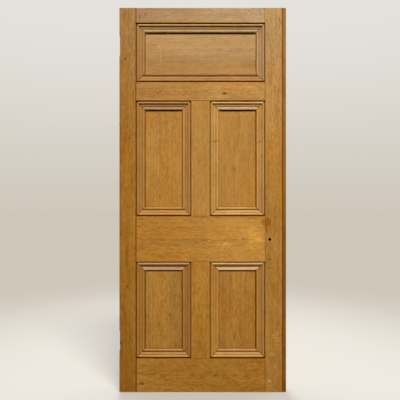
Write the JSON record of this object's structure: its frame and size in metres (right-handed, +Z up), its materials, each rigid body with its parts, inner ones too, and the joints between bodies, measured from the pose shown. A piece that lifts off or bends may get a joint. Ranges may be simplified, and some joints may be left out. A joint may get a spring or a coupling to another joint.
{
  "type": "panelled door leaf",
  "caption": "Stripped pine panelled door leaf with planted mouldings, wedged tenon joints, hinge recesses, a spindle hole and a lipped lock edge.",
  "frame": {"origin": "middle of the leaf's bottom edge, at mid thickness", "axes": "+X from the hinge edge to the lock edge, -Y out of the front face, +Z up"},
  "size_m": [0.882, 0.044, 2.032],
  "materials": {
    "stile_pine": "satin",
    "rail_pine": "satin",
    "panel_pine": "satin",
    "moulding_pine": "satin",
    "lipping_pine": "satin",
    "wedge_pine": "satin"
  },
  "bodies": {
    "root": {"hinge_stile": "stile_pine", "lock_stile": "stile_pine", "lock_edge_lipping": "lipping_pine", "top_rail": "rail_pine", "frieze_rail": "rail_pine", "lock_rail": "rail_pine", "bottom_rail": "rail_pine", "upper_muntin": "stile_pine", "lower_muntin": "stile_pine", "tenon_wedges": "wedge_pine", "top_panel": "panel_pine", "upper_left_panel": "panel_pine", "upper_right_panel": "panel_pine", "lower_left_panel": "panel_pine", "lower_right_panel": "panel_pine", "front_top_head_moulding": "moulding_pine", "front_top_sill_moulding": "moulding_pine", "front_top_left_moulding": "moulding_pine", "front_top_right_moulding": "moulding_pine", "front_upper_left_head_moulding": "moulding_pine", "front_upper_left_sill_moulding": "moulding_pine", "front_upper_left_left_moulding": "moulding_pine", "front_upper_left_right_moulding": "moulding_pine", "front_upper_right_head_moulding": "moulding_pine", "front_upper_right_sill_moulding": "moulding_pine", "front_upper_right_left_moulding": "moulding_pine", "front_upper_right_right_moulding": "moulding_pine", "front_lower_left_head_moulding": "moulding_pine", "front_lower_left_sill_moulding": "moulding_pine", "front_lower_left_left_moulding": "moulding_pine", "front_lower_left_right_moulding": "moulding_pine", "front_lower_right_head_moulding": "moulding_pine", "front_lower_right_sill_moulding": "moulding_pine", "front_lower_right_left_moulding": "moulding_pine", "front_lower_right_right_moulding": "moulding_pine", "back_top_head_moulding": "moulding_pine", "back_top_sill_moulding": "moulding_pine", "back_top_left_moulding": "moulding_pine", "back_top_right_moulding": "moulding_pine", "back_upper_left_head_moulding": "moulding_pine", "back_upper_left_sill_moulding": "moulding_pine", "back_upper_left_left_moulding": "moulding_pine", "back_upper_left_right_moulding": "moulding_pine", "back_upper_right_head_moulding": "moulding_pine", "back_upper_right_sill_moulding": "moulding_pine", "back_upper_right_left_moulding": "moulding_pine", "back_upper_right_right_moulding": "moulding_pine", "back_lower_left_head_moulding": "moulding_pine", "back_lower_left_sill_moulding": "moulding_pine", "back_lower_left_left_moulding": "moulding_pine", "back_lower_left_right_moulding": "moulding_pine", "back_lower_right_head_moulding": "moulding_pine", "back_lower_right_sill_moulding": "moulding_pine", "back_lower_right_left_moulding": "moulding_pine", "back_lower_right_right_moulding": "moulding_pine"}
  },
  "joints": []
}
